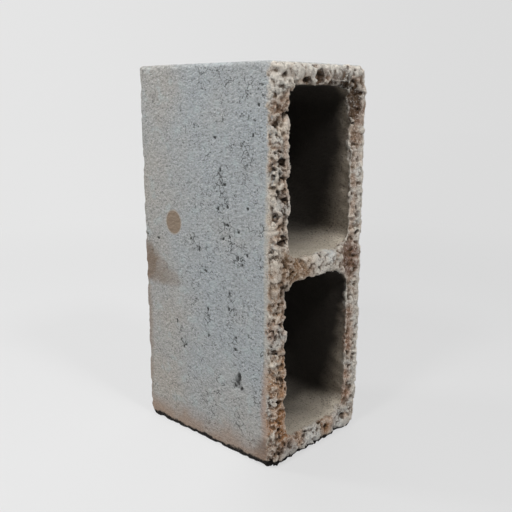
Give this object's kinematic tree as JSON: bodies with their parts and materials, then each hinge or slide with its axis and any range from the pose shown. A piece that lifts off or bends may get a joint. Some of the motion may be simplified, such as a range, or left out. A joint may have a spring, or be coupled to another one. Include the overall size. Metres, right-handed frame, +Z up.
{
  "type": "hollow concrete block",
  "caption": "Hollow concrete masonry block standing on its end, with large tapered rectangular cores running from bed face to bed face and worn, coarse mouths.",
  "frame": {"origin": "middle of the end that the block stands on", "axes": "+Z up along the block's 390 mm length, X along the cores with the coarse bed face at +X and the pallet bed face at -X, Y through the 140 mm thickness with the pictured smooth face shell at -Y"},
  "size_m": [0.19, 0.14, 0.39],
  "materials": {
    "concrete": "cast grey concrete, fine-grained on the face shells and ends, coarse open aggregate with brown stains on the bed face, dry and matt"
  },
  "bodies": {
    "root": {"concrete_block": "concrete"}
  },
  "joints": []
}
